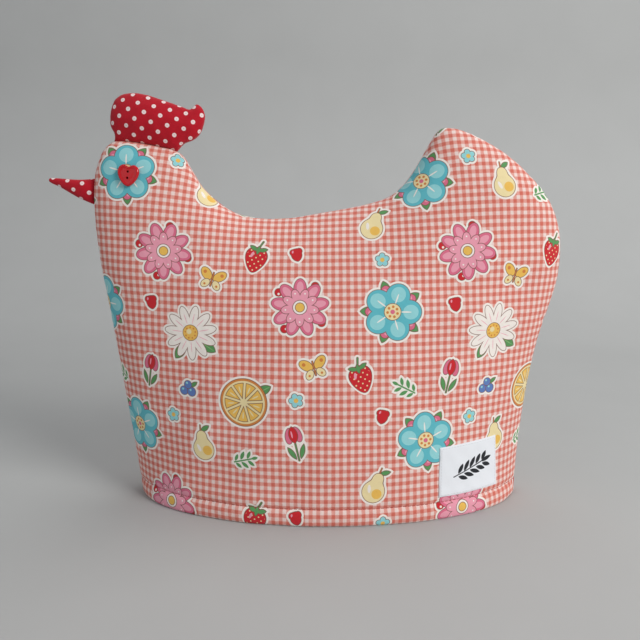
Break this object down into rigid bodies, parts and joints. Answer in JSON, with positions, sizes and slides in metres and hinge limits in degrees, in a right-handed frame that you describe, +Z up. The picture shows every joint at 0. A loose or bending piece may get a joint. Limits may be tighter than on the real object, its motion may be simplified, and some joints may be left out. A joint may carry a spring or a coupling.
{
  "type": "tea cosy",
  "caption": "Padded cloth cover in the shape of a hen that drops over a teapot, with a stuffed comb and beak, button eyes and an open oval hem.",
  "frame": {"origin": "on the plane of the hem, under the middle of the whole hen", "axes": "+X from the beak to the tail, +Y from the front panel to the back panel, +Z up"},
  "size_m": [0.3588, 0.1212, 0.2874],
  "materials": {
    "checked_cotton": "woven cotton, coral red and white gingham with small motifs",
    "dotted_cotton": "woven cotton, crimson with small white dots",
    "button_plastic": "glossy red plastic",
    "label_tape": "white woven tape"
  },
  "bodies": {
    "root": {"front_panel": "checked_cotton", "back_panel": "checked_cotton", "comb": "dotted_cotton", "beak": "dotted_cotton", "eye_button_front": "button_plastic", "eye_button_back": "button_plastic", "label": "label_tape"}
  },
  "joints": []
}
